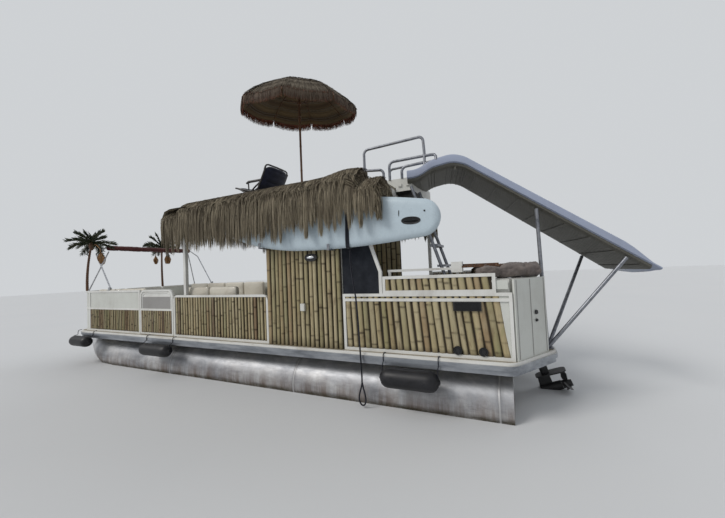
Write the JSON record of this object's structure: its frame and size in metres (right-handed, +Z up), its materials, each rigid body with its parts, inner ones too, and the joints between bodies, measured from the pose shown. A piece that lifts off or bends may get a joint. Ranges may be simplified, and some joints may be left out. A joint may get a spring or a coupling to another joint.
{
  "type": "pontoon boat",
  "caption": "Twin-hull pontoon boat with bamboo-clad fences, thatched upper deck, slide over the stern, umbrella, fold-down sunshade and a tilting outboard motor.",
  "frame": {"origin": "middle of the boat's length and beam, at the height of the keels", "axes": "+X to the bow, +Y to port, +Z up"},
  "size_m": [9.2867, 2.8434, 4.8165],
  "materials": {
    "hull_aluminium": "brushed",
    "deck_board": "matte",
    "deck_trim": "satin",
    "motor_black": "satin",
    "motor_cowl": "gloss",
    "propeller_metal": "satin",
    "white_frame": "satin",
    "bamboo": "matte",
    "grey_vinyl": "satin",
    "pale_panel": "satin",
    "cabin_board": "satin",
    "thatch": "matte",
    "slide_gelcoat": "satin",
    "dark_tube": "satin",
    "bright_tube": "brushed",
    "board_foam": "satin",
    "raffia": "matte",
    "palm_green": "matte",
    "boot_fabric": "matte",
    "dark_wood": "satin",
    "cover_canvas": "matte",
    "seat_vinyl": "satin",
    "dark_plastic": "satin",
    "fender_black": "satin",
    "cooler_white": "gloss",
    "dark_mesh": "matte",
    "line_navy": "matte"
  },
  "bodies": {
    "boat": {"aft_rail": "white_frame", "bamboo_panels": "bamboo", "bench_bases": "pale_panel", "bench_cushions": "seat_vinyl", "board_brackets": "bright_tube", "cabin_bamboo": "bamboo", "cabin_walls": "cabin_board", "chair_pedestal": "bright_tube", "clamp_bracket": "motor_black", "cool_box": "cooler_white", "cover_roll": "cover_canvas", "cross_members": "hull_aluminium", "deck": "deck_board", "fences": "white_frame", "fenders": "fender_black", "fore_panels": "grey_vinyl", "handrails": "bright_tube", "helm_console": "pale_panel", "ladder": "bright_tube", "lounger": "dark_tube", "mesh_screen": "dark_mesh", "mooring_line": "line_navy", "motor_pod": "hull_aluminium", "paddle_board": "board_foam", "palms": "palm_green", "pontoon_port": "hull_aluminium", "pontoon_starboard": "hull_aluminium", "roof_frame": "white_frame", "roof_posts": "white_frame", "rub_rail": "deck_trim", "shade_mounts": "bright_tube", "side_fittings": "dark_plastic", "slide": "slide_gelcoat", "slide_platform": "pale_panel", "slide_struts": "bright_tube", "stern_corners": "pale_panel", "stern_fence": "white_frame", "stern_lockers": "pale_panel", "thatch_front": "thatch", "thatch_sides": "thatch", "umbrella_canopy": "raffia", "umbrella_pole": "dark_wood", "upper_deck": "deck_board"},
    "outboard_swivel": {"swivel_bracket": "motor_black"},
    "outboard_motor": {"outboard_leg": "motor_black", "outboard_cowl": "motor_cowl"},
    "propeller": {"propeller": "propeller_metal"},
    "side_gate": {"side_gate": "white_frame"},
    "bow_gate": {"bow_gate": "white_frame"},
    "cabin_door": {"cabin_door": "cabin_board"},
    "steering_wheel": {"steering_wheel": "dark_plastic"},
    "captain_chair": {"captain_chair": "seat_vinyl"},
    "cool_box_lid": {"cool_box_lid": "cooler_white"},
    "sunshade": {"shade_frame": "bright_tube", "shade_boot": "boot_fabric"}
  },
  "joints": [
    {"name": "outboard_tilt", "type": "hinge", "parent": "boat", "child": "outboard_swivel", "pos_m": [-3.135, 0, 0.895], "axis": [0, 1, 0], "range_deg": [-20, 45]},
    {"name": "outboard_steer", "type": "hinge", "parent": "outboard_swivel", "child": "outboard_motor", "pos_m": [-3.25716, 0, 0.93946], "axis": [0.342, 0, 0.9397], "range_deg": [-30, 30]},
    {"name": "propeller_spin", "type": "hinge", "parent": "outboard_motor", "child": "propeller", "pos_m": [-3.72125, 0, 0.33685], "axis": [-0.9397, 0, 0.342], "continuous": true},
    {"name": "side_gate_hinge", "type": "hinge", "parent": "boat", "child": "side_gate", "pos_m": [1.676, 1.112, 0.872], "axis": [0, 0, 1], "range_deg": [-90, 0]},
    {"name": "bow_gate_hinge", "type": "hinge", "parent": "boat", "child": "bow_gate", "pos_m": [4.344, 0.406, 0.872], "axis": [0, 0, 1], "range_deg": [-90, 0]},
    {"name": "cabin_door_hinge", "type": "hinge", "parent": "boat", "child": "cabin_door", "pos_m": [-1.1345, 0.178, 0.872], "axis": [0, 0, 1], "range_deg": [-90, 0]},
    {"name": "steering_wheel_turn", "type": "hinge", "parent": "boat", "child": "steering_wheel", "pos_m": [0.385, -0.8, 1.532], "axis": [-0.866, 0, 0.5], "range_deg": [-540, 540]},
    {"name": "captain_chair_turn", "type": "hinge", "parent": "boat", "child": "captain_chair", "pos_m": [-0.045, -0.74, 1.21], "axis": [0, 0, 1], "range_deg": [-180, 180]},
    {"name": "cool_box_lid_hinge", "type": "hinge", "parent": "boat", "child": "cool_box_lid", "pos_m": [-1.965, -0.352, 1.202], "axis": [1, 0, 0], "range_deg": [0, 80]},
    {"name": "sunshade_fold", "type": "hinge", "parent": "boat", "child": "sunshade", "pos_m": [3.525, 0, 1.65], "axis": [0, 1, 0], "range_deg": [-80, 0]}
  ]
}
